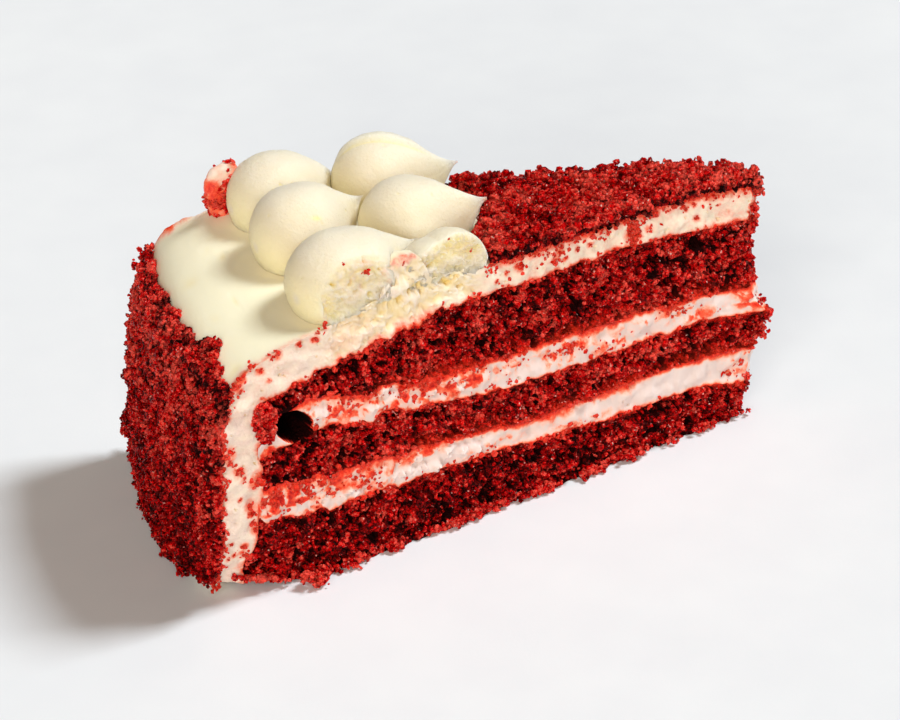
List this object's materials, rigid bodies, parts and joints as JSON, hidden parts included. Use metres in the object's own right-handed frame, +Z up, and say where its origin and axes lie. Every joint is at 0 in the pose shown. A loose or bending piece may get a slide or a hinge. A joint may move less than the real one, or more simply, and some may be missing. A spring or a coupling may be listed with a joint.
{
  "type": "cake slice",
  "caption": "Slice of red velvet layer cake with cream fillings, pale icing, red crumb coats on the rim and top, and piped cream kisses.",
  "frame": {"origin": "on the flat base, near the middle of the slice's footprint, on the line that halves the wedge", "axes": "+X along the slice from the curved rim to the blunt tip, +Y to the far cut face, +Z up"},
  "size_m": [0.1373, 0.0691, 0.0719],
  "materials": {
    "sponge": "open crumb, matt",
    "filling": "soft cream stained pink, matt",
    "icing": "smooth cream, satin",
    "crumbs": "loose crumb, matt",
    "kisses": "smooth whipped cream, satin"
  },
  "bodies": {
    "root": {"sponge_bottom": "sponge", "sponge_middle": "sponge", "sponge_top": "sponge", "filling_lower": "filling", "filling_upper": "filling", "icing": "icing", "rim_crumbs": "crumbs", "top_crumbs": "crumbs", "edge_flake": "crumbs", "kiss_rim_far": "kisses", "kiss_rim_middle": "kisses", "kiss_rim_near": "kisses", "kiss_inner_far": "kisses", "kiss_inner_middle": "kisses", "kiss_inner_near": "kisses"}
  },
  "joints": []
}
